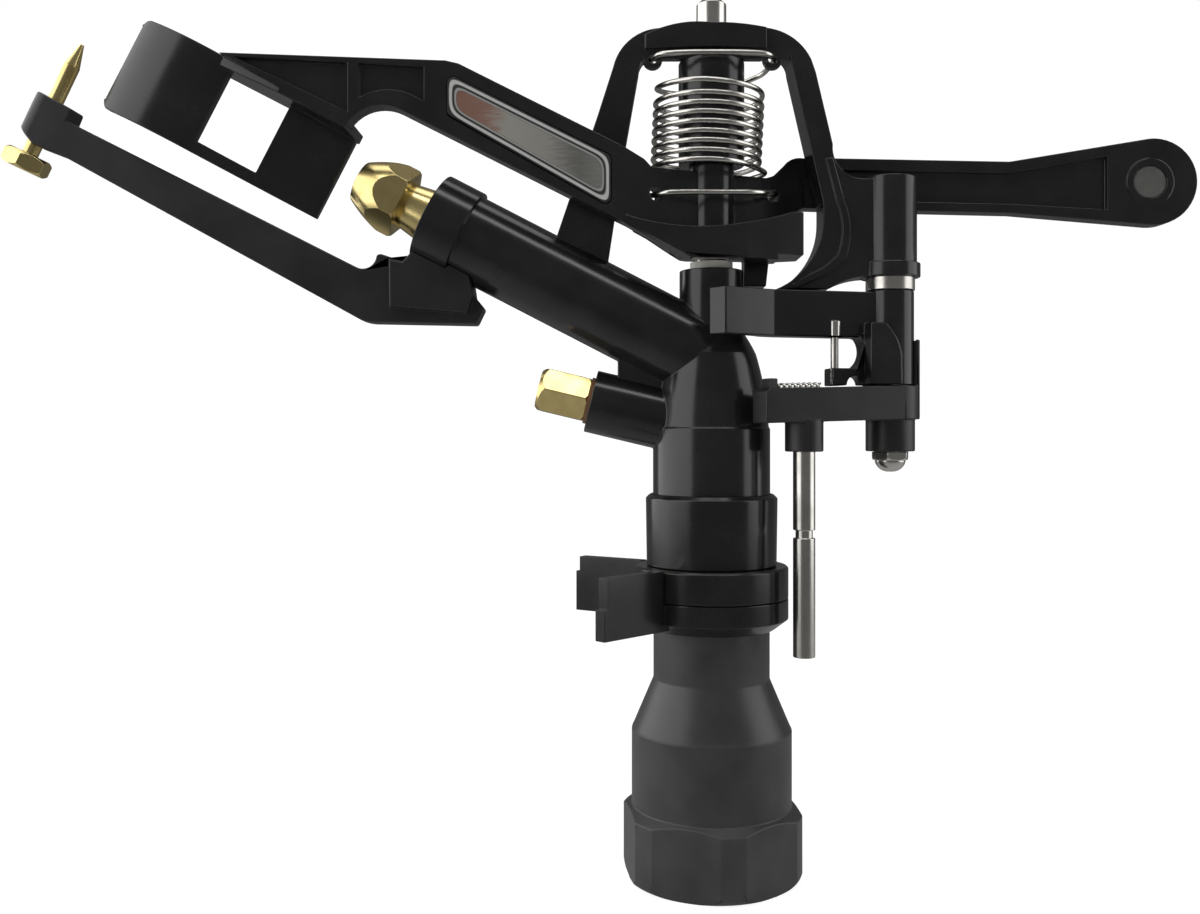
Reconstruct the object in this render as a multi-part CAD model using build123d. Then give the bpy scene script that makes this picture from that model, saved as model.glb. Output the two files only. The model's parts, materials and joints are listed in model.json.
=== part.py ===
from build123d import *
import os
from math import cos, radians, sin, sqrt, tan

os.makedirs("parts", exist_ok=True)

# Sizes in millimetres. The origin is the centre of the inlet mouth, +Z is up,
# the main nozzle points to -X and the viewer of the photo stands on the -Y side.

# Fits
running = 0.06          # radial play of turning and sliding fits
play = 0.1              # axial play between moving pieces
air = 0.35              # radial air between pieces that must not rub

# Inlet base
hex_flats = 34.6
hex_round = 18.7        # radius the corners are turned to
hex_height = 15.0
hex_turn = 38.0         # turn of the hexagon about Z, degrees
hex_break = 1.6
hex_foot = 2.4          # height of the rounding at the mouth
shell_radius = 16.5
shell_top = 31.0
cone_top = 40.6
neck_radius = 12.0
thread_radius = 12.05
thread_depth = 17.0
chamber_radius = 10.6
shoulder_height = 34.0

# Trip rings and brake cup
ring_radius = 15.8
ring_bottom = 51.0
ring_height = 6.4
ring_chamfer = 2.2
ring_break = 0.4
ring_line = 0.12        # edge break where the rings meet
tab_reach = 32.7
tab_thickness = 2.5
tab_bottom = 52.0
tab_step = 0.9
lower_tab_turn = -135.0
upper_tab_turn = 148.0
cup_radius = 13.4
cup_mouth_radius = 13.6
cup_height = 14.6
cup_floor = 2.0
spigot_radius = 9.4

# Swivel
spindle_radius = 7.6
water_radius = 5.6
flange_height = 2.5
washer_thickness = 1.2
washer_count = 3
spindle_grip = 13.5
brake_wire = 1.6
brake_coil_radius = 10.0
brake_turns = 3.25
brake_washer = 0.8

# Body. From here on heights are measured from the elbow, where the barrel's line
# meets the axis, and the head is lifted to its place at the end.
tube_radius = 12.1
tube_inset = 2.1        # how far the tube reaches into the brake cup
tube_length = 15.9
dome_top = 10.2
elbow_rise = 29.3       # from the tube's foot to the elbow
barrel_up = 27.3        # degrees
barrel_radius = 8.7
barrel_length = 65.4
collar_radius = 9.5
collar_length = 8.2
second_up = 13.5        # degrees
second_height = -14.0
second_radius = 6.5
second_length = 25.7
rib_half = 3.0
rib_end = 19.4          # from the main axis
lower_boss_radius = 6.6
lower_boss_top = 18.9
bridge_front = -3.4
bridge_back = 4.6
arch_under = 64.3
arch_band_front = -5.6
arch_band_bottom = 63.8
skirt_thickness = 2.0
lug_x = 12.3
lug_z = 62.0
lug_radius = 2.0
lug_hole = 0.95
leg_rib = 0.45          # height of the rib on the right leg
pivot_x = 37.1
pivot_boss_radius = 5.4
pivot_boss_top = 38.1
pivot_flange_radius = 6.1
pivot_flange_bottom = 17.5
pivot_flange_top = 20.4

# Nozzles
nozzle_neck_radius = 5.65
nozzle_neck_length = 5.9
nozzle_waist_radius = 4.7 # where the neck meets the hexagon
nozzle_grip = 8.0
nozzle_flats = 13.2
nozzle_hex = 10.6
nozzle_mouth_radius = 2.4
seal_wire = 1.2
second_flats = 8.7
second_hex = 10.4
second_grip = 9.0
second_shank_radius = 3.2
second_mouth_radius = 1.4
second_washer = 0.7

# Arm shaft, arm and spring
shaft_radius = 3.1
shaft_bottom = 9.7
shaft_top = 74.8
shaft_washer = 1.7
sleeve_radius = 6.8
sleeve_bottom = 40.6
hub_radius = 4.7
hub_bottom = 21.6
lip_bottom = 20.4       # the block hangs down in front of the boss
hub_top = 40.4
bush_radius = 4.0
beam_front = -10.0
beam_back = -5.2
weight_front = 6.3
weight_back = 10.5
plate_slope = 0.42
plate_half = 2.1
spoon_start = 87.0      # from the axis, along the jet
spoon_height = 20.2
spoon_thickness = 2.0
spoon_drop = 0.9        # the spoon hangs lower than the jet by this
spoon_length = 48.4
spoon_corner = 1.8
roof_thickness = 2.0
slug_x = 94.0
slug_z = 38.8
slug_radius = 3.45
weight_end_x = 95.1
weight_end_radius = 9.1
panel_depth = 1.4
plate_thickness = 0.8
plate_corner = 1.1
spring_wire = 1.1
spring_radius = 11.0
spring_first = 39.75    # height of the lowest front crossing
spring_pitch = 1.895
spring_turns = 7
spring_open = 2.4       # rise of the open turn above the close ones
spring_lean = 1.2       # the lowest turn sits off the axis by this
hole_radius = 1.4
hook_x = 12.5
hook_z = 33.6           # left hole; the right one is higher by the next size
hook_step = 1.8

# Diffuser
diffuser_half = 3.0
rail_half = 2.0
rail_depth = 2.4
screw_radius = 1.6
screw_up = 13.2
screw_down = 11.9
screw_flats = 8.4
screw_head = 3.6
screw_point = 5.0
screw_cross = (-136.2, 54.0)
screw_lean = 25.5       # degrees from upright

# Trip mechanism
trip_reach = 32.4
trip_turn = 206.3       # direction of the trip lever about Z, degrees
trip_half = 2.5
trip_eye_radius = 5.6
trip_boss_radius = 5.0
trip_boss_bottom = -18.4
trip_eye_bottom = -11.8
trip_eye_top = -4.9
shift_hub_radius = 4.8
shift_hub_top = 14.7
shift_half = 2.3
shift_bottom = 4.9
shift_top = 14.3
shift_relief_radius = 10.2
shift_relief_top = 6.3  # the relief lets the lever swing over the elbow
rod_radius = 2.2
rod_reach = 21.8        # from the pivot, along the trip lever
rod_bottom = -59.2
rod_top = -7.6
rod_boss_radius = 3.8
rod_boss_bottom = -18.3
rod_groove_z = -34.7
rod_groove = 0.5
detent_height = 1.6
pivot_pin_radius = 2.0
pivot_pin_top = 35.2
nut_flats = 7.0
nut_flange = 1.7
nut_height = 4.1
nut_dome_radius = 3.1
spacer_radius = 5.0
toggle_wire = 0.5
toggle_radius = 1.1
toggle_turns = 8
toggle_turn = 204.8     # direction of the spring's end from the pivot, degrees
toggle_reach = 17.0
toggle_pin_radius = 0.8
toggle_head_radius = 1.3
toggle_head_bottom = 5.1
toggle_pin_top = 8.2
trough_bottom = -7.8
trough_half = 1.85

# Derived heights
flange_top = shoulder_height - play - washer_count * washer_thickness
flange_bottom = flange_top - flange_height
lower_ring_top = ring_bottom + ring_height
upper_ring_bottom = lower_ring_top + play
upper_ring_top = upper_ring_bottom + ring_height
neck_top = upper_ring_top + play
cup_floor_top = neck_top + cup_floor
cup_top = neck_top + cup_height
tube_bottom = cup_top - tube_inset
spindle_top = tube_bottom + spindle_grip
elbow_height = tube_bottom + elbow_rise
tube_low = -elbow_rise
tube_top = tube_low + tube_length
tab_top = upper_ring_top
shift_hub_bottom = trip_eye_top + play
spacer_bottom = shift_hub_top + play
spacer_top = pivot_flange_bottom
nut_top = trip_boss_bottom - play

# Derived directions
jet = Vector(-cos(radians(barrel_up)), 0, sin(radians(barrel_up)))
above_jet = Vector(sin(radians(barrel_up)), 0, cos(radians(barrel_up)))
screw_dir = Vector(sin(radians(screw_lean)), 0, cos(radians(screw_lean)))
jet_plane = Plane(origin=(0, 0, 0), x_dir=(0, -1, 0), z_dir=jet)
second_dir = Vector(-cos(radians(second_up)), 0, sin(radians(second_up)))
second_plane = Plane(origin=(0, 0, second_height), x_dir=(0, -1, 0), z_dir=second_dir)
pivot = Vector(pivot_x, 0, 0)
trip_dir = Vector(cos(radians(trip_turn)), sin(radians(trip_turn)), 0)
rod_at = pivot + trip_dir * rod_reach


def upright(x, y, bottom, top, radius):
    """Cylinder standing on Z between two heights."""
    return Pos(x, y, (bottom + top) / 2) * Cylinder(radius, top - bottom)


def along(plane, start, end, radius):
    """Cylinder along the normal of a plane between two distances."""
    return plane * Pos(0, 0, (start + end) / 2) * Cylinder(radius, end - start)


def hexagon(plane, start, end, flats, turn=0.0):
    """Hexagonal prism along the normal of a plane."""
    face = RegularPolygon(flats / 2, 6, major_radius=False, rotation=turn)
    return extrude(plane * Pos(0, 0, start) * face, end - start)


def outline(plane, *steps):
    """Face from points; a pair of points is an arc through the first to the second."""
    edges = []
    last = steps[-1][-1] if isinstance(steps[-1][0], tuple) else steps[-1]
    for step in steps:
        if isinstance(step[0], tuple):
            edges.append(ThreePointArc(last, step[0], step[1]))
            last = step[1]
        else:
            edges.append(Line(last, step))
            last = step
    return plane * make_face(edges)


def side_plate(front, back, *steps):
    """XZ outline as a plate between two depths in Y."""
    plane = Plane(origin=(0, back, 0), x_dir=(1, 0, 0), z_dir=(0, -1, 0))
    return extrude(outline(plane, *steps), back - front)


def plan_plate(bottom, top, *steps):
    """XY outline as a plate between two heights."""
    return extrude(outline(Plane.XY.offset(bottom), *steps), top - bottom)


def turned(*steps):
    """Solid of revolution about Z from a radius and height outline."""
    return revolve(outline(Plane.XZ, *steps), Axis.Z)


def washer(bottom, thickness, inner, outer):
    return upright(0, 0, bottom, bottom + thickness, outer) - upright(0, 0, bottom, bottom + thickness, inner)


def wire_tube(points, radius):
    """One unbroken round wire through points, joined by pairs of tangent arcs."""
    pts = [Vector(*p) for p in points]
    last = len(pts) - 1
    tangents = [(pts[i + 1] - pts[i - 1]).normalized() for i in range(1, last)]
    first = (pts[1] - pts[0]).normalized()
    final = (pts[last] - pts[last - 1]).normalized()
    tangents.insert(0, first * (2 * first.dot(tangents[0])) - tangents[0])
    tangents.append(final * (2 * final.dot(tangents[-1])) - tangents[-1])
    edges = []
    for i in range(last):
        step = pts[i + 1] - pts[i]
        turn = 2 * (1 - tangents[i].dot(tangents[i + 1]))
        lean = step.dot(tangents[i] + tangents[i + 1])
        if turn < 1e-9:
            reach = step.dot(step) / (2 * lean)
        else:
            reach = (sqrt(lean ** 2 + turn * step.dot(step)) - lean) / turn
        near = pts[i] + tangents[i] * reach
        far = pts[i + 1] - tangents[i + 1] * reach
        middle = (near + far) * 0.5
        for start, end, aim in ((pts[i], middle, tangents[i]), (middle, pts[i + 1], far - near)):
            straight = aim.normalized().dot((end - start).normalized()) > 1 - 1e-9
            edges.append(Line(start, end) if straight else TangentArc(start, end, tangent=aim))
    path = Wire(edges)
    face = Plane(origin=pts[0], z_dir=tangents[0]) * Circle(radius)
    return sweep(face, path=path), path


def self_gap(path, radius, apart):
    """Least air between stretches of one wire that lie further apart than a length."""
    count = int(path.length / 0.6)
    pts = [path.position_at(i / count) for i in range(count + 1)]
    skip = int(apart / 0.6)
    pairs = ((i, j) for i in range(count + 1) for j in range(i + skip, count + 1))
    return min((pts[i] - pts[j]).length for i, j in pairs) - 2 * radius


def inlet_base():
    body = hexagon(Plane.XY, 0, hex_height, hex_flats, hex_turn)
    mouth = shell_radius + 0.4
    body &= turned((0, 0), (mouth, 0), ((hex_round - 0.4, 0.35 * hex_foot), (hex_round, hex_foot)),
                   (hex_round, hex_height - hex_break), (shell_radius - 0.4, hex_height), (0, hex_height))
    body += turned((0, 0), (shell_radius, 0), (shell_radius, shell_top - 0.8),
                   (shell_radius - 0.4, shell_top), (neck_radius, cone_top), (neck_radius, neck_top),
                   (spigot_radius, neck_top), (spigot_radius, cup_floor_top), (0, cup_floor_top))
    body -= turned((0, 0), (thread_radius, 0), (thread_radius, thread_depth),
                   (chamber_radius, thread_depth), (chamber_radius, shoulder_height),
                   (spindle_radius + running, shoulder_height),
                   (spindle_radius + running, cup_floor_top), (0, cup_floor_top))
    return body


def trip_ring(bottom, tab_turn, chamfer, top_break):
    bore = neck_radius + running
    top = bottom + ring_height
    ring = turned((bore, bottom), (ring_radius - 1.3 * chamfer, bottom), (ring_radius, bottom + chamfer),
                  (ring_radius, top - top_break), (ring_radius - top_break, top), (bore, top))
    root = bore + 1.2
    clear = ring_radius + air
    low = max(bottom, tab_bottom)
    half = (low + tab_top) / 2
    tab = Pos((root + clear) / 2 + 0.5, 0, (low + top) / 2 - 0.2)
    tab = tab * Box(clear - root + 1.0, tab_thickness, top - low - 0.4)
    tab += Pos((clear + tab_reach) / 2, 0, (tab_bottom + half) / 2) * Box(
        tab_reach - clear, tab_thickness, half - tab_bottom)
    tab += Pos((clear + tab_reach - tab_step) / 2, 0, (half + tab_top) / 2) * Box(
        tab_reach - tab_step - clear, tab_thickness, tab_top - half)
    return ring + Rot(0, 0, tab_turn) * tab


def brake_cup():
    bore = tube_radius + air
    return turned((spigot_radius, neck_top), (cup_radius, neck_top), (cup_mouth_radius, cup_top - 0.8),
                  (bore + 0.3, cup_top), (bore, cup_top), (bore, cup_floor_top),
                  (spigot_radius, cup_floor_top))


def bearing_spindle():
    outer = chamber_radius - air
    return turned((water_radius, flange_bottom), (outer, flange_bottom), (outer, flange_top),
                  (spindle_radius, flange_top), (spindle_radius, spindle_top), (water_radius, spindle_top))


def stack_washer(index):
    bottom = flange_top + index * washer_thickness
    return washer(bottom, washer_thickness, spindle_radius, chamber_radius - air)


def brake_spring():
    bottom = cup_floor_top + brake_washer
    top = tube_bottom - play - brake_washer
    low = bottom + brake_wire / 2 + 0.02
    rise = top - bottom - brake_wire - 0.1
    count = round(brake_turns * 4)
    points = []
    for i in range(count + 1):
        angle = radians(90 * i)
        x = brake_coil_radius * cos(angle)
        points.append((x, brake_coil_radius * sin(angle), low + rise * i / count))
    spring, path = wire_tube(points, brake_wire / 2)
    print("brake spring least gap", round(self_gap(path, brake_wire / 2, 20.0), 2))
    return spring


def brake_washers():
    inner = spindle_radius + air
    outer = tube_radius - 0.4
    low = washer(cup_floor_top, brake_washer, inner, outer)
    high = washer(tube_bottom - play - brake_washer, brake_washer, inner, outer)
    return low + high


def bridge():
    loop = side_plate(
        bridge_front, bridge_back,
        (-33.0, 22.6), (-23.5, 50.7), (-20.4, 60.4), ((-16.4, 66.4), (-8.6, 68.2)),
        ((-0.6, 68.6), (7.8, 68.3)), ((16.2, 66.5), (20.2, 61.9)), (21.1, 59.3), (24.6, 44.5),
        ((26.2, 39.6), (31.1, 37.5)), (36.0, 37.5), (36.0, 17.6), (32.1, 17.6), ((27.9, 16.9), (24.0, 15.1)),
        (16.0, 11.6), (9.0, 8.0), (0.0, 4.7), (0.0, 13.4), (8.6, 13.8), ((19.6, 20.0), (22.6, 29.2)),
        (22.6, 32.5), (19.4, 46.4), (16.2, 60.4), ((14.8, 63.4), (11.0, arch_under)), (-11.0, arch_under),
        ((-14.0, 63.0), (-15.0, 60.4)), (-17.8, 44.5), (-21.6, 19.7), (-21.6, 12.2))
    slot = shift_half / cos(radians(12)) + 0.7
    loop -= Pos(21.0, bridge_front, 0) * Box(26.0, 2 * (slot + 0.2), 29.6)
    band = side_plate(
        arch_band_front, bridge_back,
        (-13.9, arch_band_bottom), (-13.9, 66.8), ((-9.4, 68.3), (-0.6, 68.8)), ((6.4, 68.6), (10.9, 68.1)),
        (10.9, arch_band_bottom))
    band &= plan_plate(
        arch_band_bottom, 70,
        (-17.0, bridge_front), ((-0.3, arch_band_front), (16.4, bridge_front)), (16.4, bridge_back),
        (-17.0, bridge_back))
    rib = side_plate(
        bridge_front - leg_rib, bridge_front + 0.5,
        (23.0, 41.5), (25.4, 32.4), ((26.5, 26.6), (25.4, 21.6)), (22.7, 19.3), (16.4, 16.1), (16.9, 14.9),
        (23.6, 18.0), (26.9, 20.6), ((28.1, 26.4), (26.9, 32.6)), (24.5, 41.7))
    skirt = side_plate(
        bridge_front, bridge_front + skirt_thickness,
        (-15.6, 61.4), (-15.6, 66.2), (15.6, 66.2), (15.6, 61.4), (lug_x + lug_radius, lug_z),
        ((lug_x, lug_z - lug_radius), (lug_x - lug_radius, lug_z)), (-lug_x + lug_radius, lug_z),
        ((-lug_x, lug_z - lug_radius), (-lug_x - lug_radius, lug_z)))
    whole = loop + band + skirt + rib
    for side in (-1, 1):
        eye = Plane(origin=(side * lug_x, 0, lug_z), x_dir=(1, 0, 0), z_dir=(0, -1, 0))
        whole -= along(eye, 0, 6, lug_hole)
    return whole


def sprinkler_body():
    body = turned((0, tube_low), (tube_radius, tube_low), (tube_radius, tube_top - 0.3),
                  (tube_radius - 0.3, tube_top), ((10.9, -5.6), (9.2, 1.6)), ((7.6, 4.6), (5.6, 7.4)),
                  (4.0, dome_top), (0, dome_top))
    body += along(jet_plane, 0, barrel_length, barrel_radius)
    body += along(jet_plane, barrel_length - collar_length, barrel_length, collar_radius)
    body += along(second_plane, 0, second_length, second_radius)
    body += side_plate(
        -rib_half, rib_half,
        jet_line(rib_end), jet_line(4.0), second_line(4.0), second_line(rib_end))
    body += upright(0, 0, 0, lower_boss_top, lower_boss_radius)
    body += bridge()
    body += upright(pivot_x, 0, pivot_flange_bottom, pivot_boss_top, pivot_boss_radius)
    body += upright(pivot_x, 0, pivot_flange_bottom, pivot_flange_top, pivot_flange_radius)
    body += jet_plane * rail(0)
    body -= upright(0, 0, tube_low, tube_low + spindle_grip, spindle_radius)
    body -= upright(0, 0, tube_low, 0, water_radius)
    body -= along(jet_plane, 0, barrel_length, water_radius)
    body -= Sphere(water_radius)
    body -= along(jet_plane, barrel_length - nozzle_grip, barrel_length, nozzle_neck_radius)
    body -= along(second_plane, 0, second_length, second_mouth_radius + 0.6)
    body -= along(second_plane, second_length - second_grip, second_length, second_shank_radius)
    body -= upright(0, 0, shaft_bottom, shaft_top, shaft_radius)
    body -= upright(pivot_x, 0, pivot_flange_bottom, pivot_pin_top, pivot_pin_radius)
    return body


def jet_line(distance):
    """Point of the barrel's axis at a distance from the main axis, in XZ."""
    return -distance, distance * tan(radians(barrel_up))


def second_line(distance):
    """Point of the second nozzle's axis at a distance from the main axis, in XZ."""
    return -distance, second_height + distance * tan(radians(second_up))


def rail(gap):
    """Rail under the collar that the diffuser arm slides on, in the barrel's own frame."""
    low = collar_radius - 1.0
    deep = rail_depth + 1.0 + gap
    width = 2 * (rail_half + gap)
    length = collar_length - 1.2 + 2 * gap
    return Pos(0, -low - deep / 2, barrel_length - collar_length / 2) * Box(width, deep, length)


def main_nozzle():
    start = barrel_length
    step = start + nozzle_neck_length
    end = step + nozzle_hex
    corner = nozzle_flats / sqrt(3)
    nozzle = jet_plane * turned(
        (0, start - nozzle_grip), (nozzle_neck_radius, start - nozzle_grip),
        (nozzle_neck_radius, start + 0.4), (nozzle_waist_radius, step + 0.2), (0, step + 0.2))
    crown = turned((0, step), (corner - 0.5, step), (corner, step + 0.6), (corner, step + 3.0),
                   ((6.2, step + 7.0), (4.3, end)), (0, end))
    nozzle += hexagon(jet_plane, step, end, nozzle_flats, 30.0) & (jet_plane * crown)
    bore = turned((0, start - nozzle_grip), (4.5, start - nozzle_grip), (nozzle_mouth_radius, step + 3.0),
                  (nozzle_mouth_radius, end), (0, end))
    nozzle -= jet_plane * bore
    low = start - 4.0
    high = low + seal_wire
    deep = nozzle_neck_radius - 0.8
    wide = nozzle_neck_radius + 1.0
    groove = turned((deep, low), (wide, low), (wide, high), (deep, high))
    return nozzle - jet_plane * groove


def main_nozzle_seal():
    low = barrel_length - 4.0
    ring = turned((nozzle_neck_radius - 0.8, low), (nozzle_neck_radius, low),
                  (nozzle_neck_radius, low + seal_wire), (nozzle_neck_radius - 0.8, low + seal_wire))
    return jet_plane * ring


def secondary_nozzle():
    start = second_length + second_washer
    end = start + second_hex
    corner = second_flats / sqrt(3)
    nozzle = along(second_plane, second_length - second_grip, start, second_shank_radius)
    crown = turned((0, start), (corner - 0.4, start), (corner, start + 0.5), (corner, end - 1.4),
                   (corner - 1.2, end), (0, end))
    nozzle += hexagon(second_plane, start, end, second_flats, 2.0) & (second_plane * crown)
    return nozzle - along(second_plane, 0, end, second_mouth_radius)


def secondary_nozzle_washer():
    end = second_length + second_washer
    disc = along(second_plane, second_length, end, second_flats / 2 + 0.5)
    return disc - along(second_plane, second_length, end, second_shank_radius)


def arm_shaft():
    return turned((0, shaft_bottom), (shaft_radius, shaft_bottom), (shaft_radius, shaft_top - 0.8),
                  (shaft_radius - 0.8, shaft_top), (0, shaft_top))


def spring_sleeve():
    sleeve = upright(0, 0, sleeve_bottom, lug_z, sleeve_radius)
    return sleeve - upright(0, 0, sleeve_bottom, lug_z, shaft_radius)


def spoon():
    middle = jet * spoon_start - above_jet * spoon_drop
    plane = Plane(origin=middle - above_jet * (spoon_height / 2), x_dir=jet, z_dir=above_jet)
    half = spoon_thickness / 2
    face = outline(
        plane,
        (0.0, -2.0 - half), ((13.0, 1.0 - half), (27.0, 5.0 - half)),
        ((37.5, 6.6 - half), (spoon_length - 0.8, 2.0 - half)), (spoon_length, 2.0 + half),
        ((37.5, 6.6 + half), (26.6, 5.0 + half)), ((12.8, 1.0 + half), (0.0, -2.0 + half)))
    shell = extrude(face, spoon_height)
    shell -= plane * Pos(20.6, 3.0, spoon_height / 2 + 0.9) * Box(12.6, 16.0, 17.0)
    ceiling = outline(
        plane.offset(spoon_height - roof_thickness),
        (0.0, -4.8), (0.0, 10.0), (15.0, 10.0), (30.0, 6.7), ((38.5, 6.9), (spoon_length - 0.6, 2.2)),
        (43.0, -1.0), (43.0, -4.8))
    roof = extrude(ceiling, roof_thickness)
    flat = Plane(origin=middle - above_jet * (spoon_height / 2), x_dir=jet, z_dir=(0, 1, 0))
    round_end = extrude(outline(
        flat.offset(-15),
        (0.0, 0.0), (spoon_length - spoon_corner, 0.0),
        ((spoon_length - 0.3 * spoon_corner, 0.3 * spoon_corner), (spoon_length, spoon_corner)),
        (spoon_length, spoon_height - spoon_corner),
        ((spoon_length - 0.3 * spoon_corner, spoon_height - 0.3 * spoon_corner),
         (spoon_length - spoon_corner, spoon_height)),
        (0.0, spoon_height)), 30)
    return (shell + roof) & round_end


def impact_arm():
    web = side_plate(
        -20, 20,
        (-99.1, 61.2), (-53.9, 59.6), (-51.3, 59.0), (-23.9, 45.3), (-14.2, 40.4), (-12.8, 39.0),
        (-10.5, 38.9), (11.8, 38.9), (13.4, 39.5), (15.7, 41.8),
        ((17.6, 43.4), (20.1, 43.9)), (27.2, 43.9), (64.2, 43.2),
        (weight_end_x - 1.2, slug_z + weight_end_radius + 0.2),
        ((weight_end_x + weight_end_radius, slug_z), (weight_end_x - 0.6, slug_z - weight_end_radius)),
        (64.8, 32.2), (20.0, 33.2), (16.0, 30.0), (9.0, 26.0), (5.0, hub_bottom), (-6.4, hub_bottom),
        (-10.0, 23.3), (-29.0, 32.7), (-62.9, 49.8), ((-67.8, 50.6), (-73.6, 46.8)))
    lean = plate_half * sqrt(1 + plate_slope ** 2)
    crease = (beam_front + lean) / plate_slope
    strip = plan_plate(
        0, 90,
        (-120, beam_front), (crease, beam_front),
        ((weight_front + lean) / plate_slope, weight_front), (120, weight_front), (120, weight_back),
        ((weight_back - lean) / plate_slope, weight_back), ((beam_back - lean) / plate_slope, beam_back),
        (-120, beam_back))
    arm = web & strip
    block = side_plate(
        -12, 12,
        (-20.0, 28.4), (-20.0, 29.6), ((0.0, 26.8), (16.2, 30.4)), (18.4, 30.4), (18.4, hub_bottom),
        (-6.4, hub_bottom), (-10.0, 23.3))
    lip = side_plate(
        -12, 0,
        (-9.0, 22.8), (-6.4, hub_bottom + 0.2), (13.0, hub_bottom + 0.2), (13.0, lip_bottom),
        (-4.8, lip_bottom))
    block += lip - upright(0, 0, lip_bottom, hub_bottom, lower_boss_radius + air)
    block &= plan_plate(
        0, 90,
        (-21, beam_front + 0.6), (crease, beam_front), (6.2, -9.6), (18.4, -4.6), (18.4, 4.6), (13.0, 6.4),
        (5.0, 5.6), (-5.0, 5.0), (-17.0, beam_back), (-21, beam_back))
    arm += block
    arm += upright(0, 0, hub_bottom, hub_top, hub_radius)
    arm += side_plate(1.6, 6.4, (7.0, 23.2), (12.4, 23.2), (11.6, 16.0), (7.0, 16.0))
    arm += spoon()
    arm += along(Plane(origin=(slug_x, 0, slug_z), x_dir=(1, 0, 0), z_dir=(0, -1, 0)),
                 -weight_back, -weight_front + 0.4, slug_radius + 1.6)
    for hook, height in ((-1, hook_z), (1, hook_z + hook_step)):
        eye = Plane(origin=(hook * hook_x, hook * hook_x * plate_slope, height), z_dir=(plate_slope, -1, 0))
        arm -= along(eye, -5, 5, hole_radius)
    deep = beam_front + panel_depth
    arm -= side_plate(-20, deep, (-95.6, 60.2), (-73.4, 59.1), (-73.4, 49.4))
    arm -= side_plate(-20, deep, (-71.2, 59.0), (-58.2, 58.2), (-58.2, 51.4), ((-64.0, 53.8), (-71.2, 52.2)))
    arm -= nameplate_block(-20, beam_front + 0.5, 0.15)
    rim = weight_front + panel_depth
    arm -= side_plate(
        0, rim,
        (23.0, 41.4), (64.2, 40.6), (85.0, 44.2), (85.0, 33.0), (64.8, 34.2), (23.0, 35.1))
    arm -= along(Plane(origin=(slug_x, 0, slug_z), x_dir=(1, 0, 0), z_dir=(0, -1, 0)),
                 -weight_back, 0, slug_radius)
    arm -= upright(0, 0, hub_bottom, hub_top, bush_radius)
    return arm


def nameplate_block(front, back, grow):
    """Plate with rounded corners, larger all round by a distance."""
    block = side_plate(
        front, back,
        (-53.4 - grow, 56.8 + grow), (-21.0 + grow, 40.5 + grow), (-21.0 + grow, 30.4 - grow),
        (-53.4 - grow, 48.8 - grow))
    return fillet(block.edges().filter_by(Axis.Y), plate_corner + grow)


def nameplate():
    back = beam_front + 0.5
    return nameplate_block(back - plate_thickness, back, 0)


def arm_bush():
    return upright(0, 0, hub_bottom, hub_top, bush_radius) - upright(
        0, 0, hub_bottom, hub_top, shaft_radius + running)


def counterweight_slug():
    return along(Plane(origin=(slug_x, 0, slug_z), x_dir=(1, 0, 0), z_dir=(0, -1, 0)),
                 -weight_back, -weight_front + 0.2, slug_radius)


def arm_spring():
    side = hook_x * plate_slope
    high_z = hook_z + hook_step
    low_hook = [(11.2, 9.2, high_z + 0.2), (hook_x, side, high_z), (12.6, 0.2, 34.9), (9.0, -5.4, 34.2),
                (0.0, -7.9, 33.8), (-8.8, -8.5, 33.6), (-hook_x, -side, hook_z), (-13.6, -0.6, 34.4),
                (-10.4, 8.0, 36.4), (0.0, 12.0, 38.2), (8.8, 7.4, 39.6)]
    coil = []
    for i in range(spring_turns * 4 + 5):
        angle = radians(-90 - 90 * i)
        lean = spring_lean * (1 - i / (8 * spring_turns))
        open_part = max(0, i / 4 - spring_turns)
        height = spring_first + spring_pitch * (i / 4 - open_part) + spring_open * open_part
        coil.append((spring_radius * cos(angle) - lean, spring_radius * sin(angle), height))
    high_hook = [(-11.3, 0.0, 56.8), (0.0, 11.6, 59.2), (10.2, 6.8, 61.2), (12.5, 0.4, 61.9),
                 (12.3, -3.6, 62.0), (10.2, -6.6, 61.95), (0.0, -8.6, 61.6), (-10.2, -6.6, 61.95),
                 (-12.3, -3.6, 62.0), (-12.5, 0.4, 62.1)]
    spring, path = wire_tube(low_hook + [(10.8, 0.0, 39.65)] + coil + high_hook, spring_wire / 2)
    print("arm spring least gap", round(self_gap(path, spring_wire / 2, 12.0), 2))
    return spring


def diffuser_arm():
    arm = side_plate(
        -diffuser_half, diffuser_half,
        (-139.3, 56.1), (-131.4, 51.8), (-132.4, 49.4), (-73.0, 19.4), ((-70.6, 19.4), (-69.0, 21.9)),
        (-68.2, 22.2), (-63.4, 20.6), (-60.0, 25.0), (-50.0, 22.2), (-49.0, 13.6), (-46.9, 11.0),
        (-48.5, 7.7), (-69.0, 8.1), ((-70.6, 8.2), (-72.2, 8.6)), (-134.0, 42.6), (-139.7, 44.8),
        (-142.6, 48.5))
    arm &= extrude(outline(
        screw_plane().offset(-100),
        (diffuser_half, 150), (diffuser_half, -0.8), ((0, -0.8 - diffuser_half), (-diffuser_half, -0.8)),
        (-diffuser_half, 150)), 160)
    arm += side_plate(
        -5.0, 5.0,
        (-66.1, 20.8), (-63.4, 20.2), (-60.0, 24.0), (-50.0, 20.2), (-49.0, 13.6), (-50.0, 9.8),
        (-66.0, 11.2))
    arm -= along(jet_plane, barrel_length - collar_length, barrel_length + 4, collar_radius)
    arm -= along(jet_plane, 0, barrel_length - collar_length, barrel_radius)
    arm -= jet_plane * rail(0)
    return arm - screw_cylinder(-40, 40, screw_radius + running)


def screw_plane():
    return Plane(origin=(screw_cross[0], 0, screw_cross[1]), x_dir=(0, -1, 0), z_dir=screw_dir)


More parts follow.
